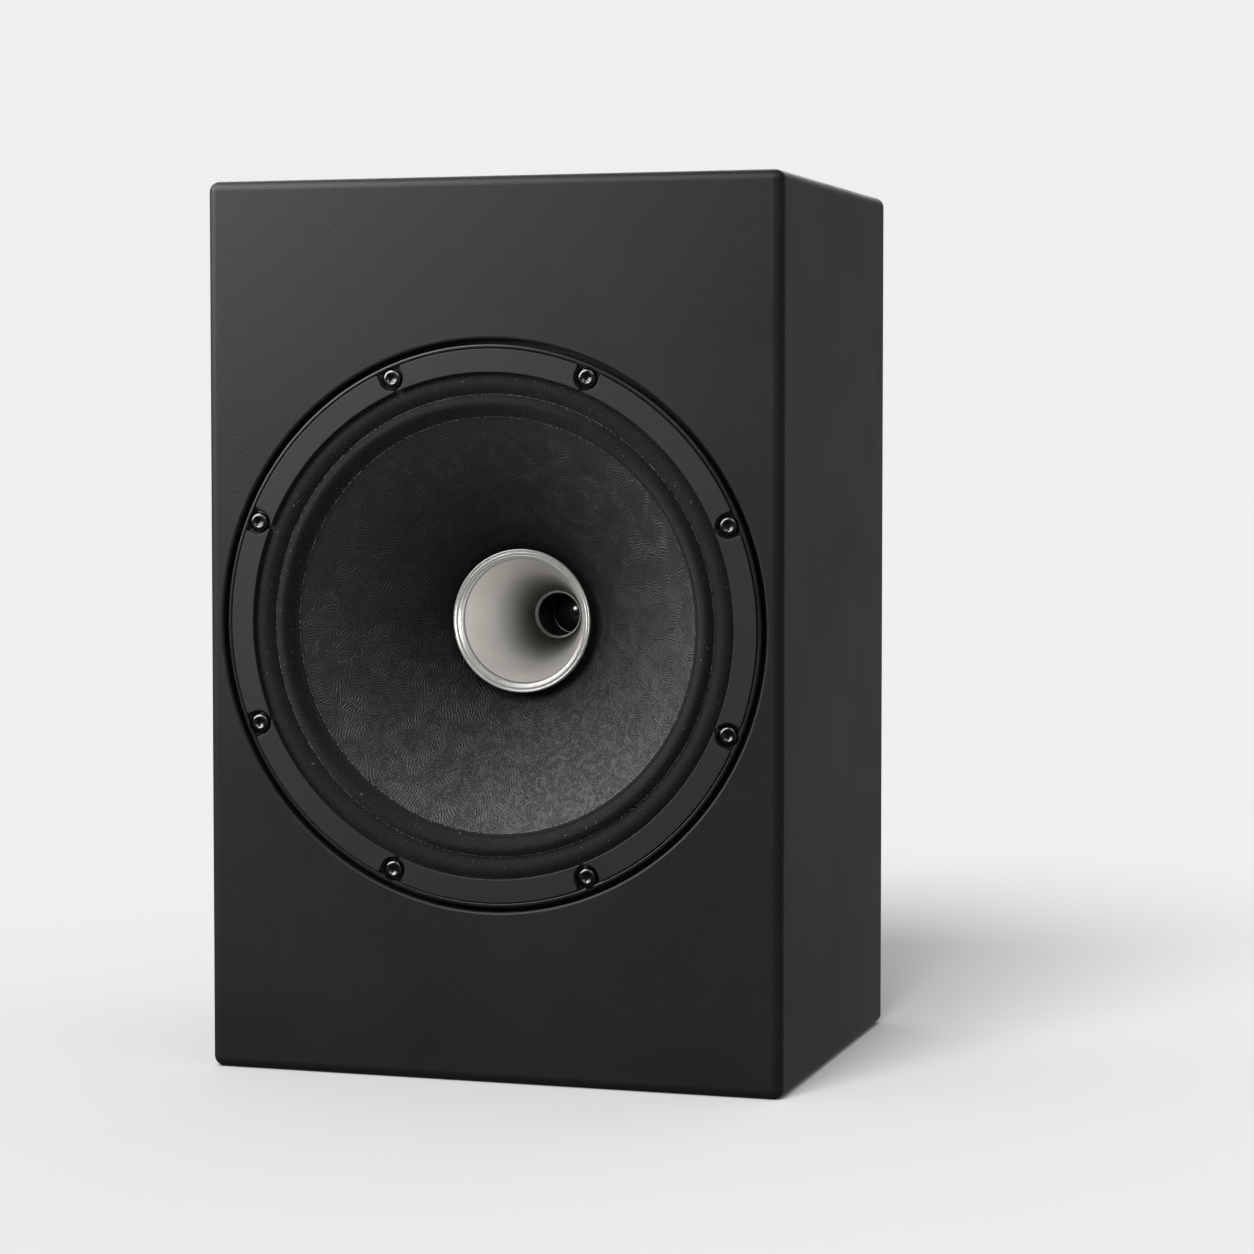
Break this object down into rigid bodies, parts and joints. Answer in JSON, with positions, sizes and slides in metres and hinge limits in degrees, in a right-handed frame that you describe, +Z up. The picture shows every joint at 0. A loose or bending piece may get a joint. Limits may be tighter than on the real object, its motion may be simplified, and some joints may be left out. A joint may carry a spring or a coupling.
{
  "type": "bookshelf speaker",
  "caption": "Sealed black box loudspeaker with one coaxial driver: a cloth-edged paper cone round a small aluminium horn, and a recessed rear terminal cup.",
  "frame": {"origin": "centre of the footprint, on the surface that the box stands on", "axes": "front faces -Y, +X is to the right seen from the front, +Z up"},
  "size_m": [0.34, 0.254, 0.51],
  "materials": {
    "cabinet_paint": "fine textured matte black paint on board",
    "raw_board": "raw fibreboard",
    "foam": "open-cell foam",
    "foam_seal": "closed-cell foam tape",
    "cast_frame": "black powder-coated die-cast aluminium",
    "pad_rubber": "satin moulded rubber",
    "black_steel": "black oxide steel, oiled",
    "zinc": "zinc-plated steel",
    "surround_cloth": "doped black cloth",
    "cone_paper": "black pressed-pulp paper",
    "former": "polyimide film",
    "copper": "enamelled copper wire",
    "spider_cloth": "resin-treated cloth",
    "plated_steel": "zinc-plated steel",
    "ferrite": "sintered ferrite",
    "fibre_board": "phenolic board with tinned tags",
    "horn_aluminium": "satin turned aluminium",
    "black_plastic": "moulded black plastic",
    "dome_film": "glossy black polymer film",
    "gold_brass": "gold-plated brass",
    "tinned_brass": "tinned brass",
    "red_plastic": "red moulded plastic",
    "circuit_board": "green glass-fibre board",
    "nylon": "natural nylon",
    "capacitor_film": "film capacitor wrap",
    "ceramic": "white cement",
    "wire_red": "PVC-covered wire",
    "wire_blue": "PVC-covered wire"
  },
  "bodies": {
    "cabinet": {"front_panel": "cabinet_paint", "left_panel": "cabinet_paint", "right_panel": "cabinet_paint", "top_panel": "cabinet_paint", "bottom_panel": "cabinet_paint", "back_panel": "cabinet_paint", "brace": "raw_board", "left_foam": "foam", "right_foam": "foam", "top_foam": "foam", "back_foam": "foam", "flange_seal": "foam_seal", "basket": "cast_frame", "gasket_pads": "pad_rubber", "driver_washers": "black_steel", "driver_screws": "black_steel", "tee_nuts": "zinc", "surround": "surround_cloth", "spider": "spider_cloth", "frame_screws": "black_steel", "top_plate": "plated_steel", "ferrite_magnet": "ferrite", "yoke": "plated_steel", "woofer_terminals": "fibre_board", "horn": "horn_aluminium", "throat_tube": "black_plastic", "tweeter_screws": "black_steel", "tweeter_top_plate": "plated_steel", "tweeter_magnet": "ferrite", "tweeter_yoke": "plated_steel", "tweeter_can": "black_plastic", "terminal_cup": "black_plastic", "cup_seal": "foam_seal", "cup_screws": "black_steel", "post_bases": "black_plastic", "post_studs": "gold_brass", "post_nuts": "gold_brass", "solder_lugs": "tinned_brass", "crossover_board": "circuit_board", "board_spacers": "nylon", "board_screws": "zinc", "woofer_inductor": "copper", "tweeter_inductor": "copper", "woofer_capacitor": "capacitor_film", "tweeter_capacitor": "capacitor_film", "resistor": "ceramic", "input_wires": "wire_red", "woofer_wires": "wire_red", "tweeter_wires": "wire_blue"},
    "woofer_cone": {"cone": "cone_paper", "coil_former": "former", "voice_coil": "copper"},
    "tweeter_diaphragm": {"tweeter_dome": "dome_film", "tweeter_coil": "copper"},
    "left_clamp_ring": {"left_clamp": "gold_brass"},
    "left_post_cap": {"left_cap": "red_plastic"},
    "right_clamp_ring": {"right_clamp": "gold_brass"},
    "right_post_cap": {"right_cap": "black_plastic"}
  },
  "joints": [
    {"name": "cone_slide", "type": "slide", "parent": "cabinet", "child": "woofer_cone", "axis": [0, -1, 0], "range_m": [-0.0055, 0.0055], "stiffness_N_per_m": 4000, "deforming": ["surround", "spider"]},
    {"name": "tweeter_slide", "type": "slide", "parent": "cabinet", "child": "tweeter_diaphragm", "axis": [0, -1, 0], "range_m": [-0.0003, 0.0003], "stiffness_N_per_m": 1500},
    {"name": "left_clamp_lift", "type": "slide", "parent": "cabinet", "child": "left_clamp_ring", "axis": [0, 1, 0], "range_m": [0, 0.004]},
    {"name": "left_cap_turn", "type": "hinge", "parent": "left_clamp_ring", "child": "left_post_cap", "pos_m": [-0.0095, 0.092, 0.11], "axis": [0, 1, 0], "range_deg": [0, 1440]},
    {"name": "right_clamp_lift", "type": "slide", "parent": "cabinet", "child": "right_clamp_ring", "axis": [0, 1, 0], "range_m": [0, 0.004]},
    {"name": "right_cap_turn", "type": "hinge", "parent": "right_clamp_ring", "child": "right_post_cap", "pos_m": [0.0095, 0.092, 0.11], "axis": [0, 1, 0], "range_deg": [0, 1440]}
  ],
  "couplings": [
    {"joint": "left_cap_turn", "follows": "left_clamp_lift", "rad_per_m": 6283.2},
    {"joint": "right_cap_turn", "follows": "right_clamp_lift", "rad_per_m": 6283.2}
  ]
}
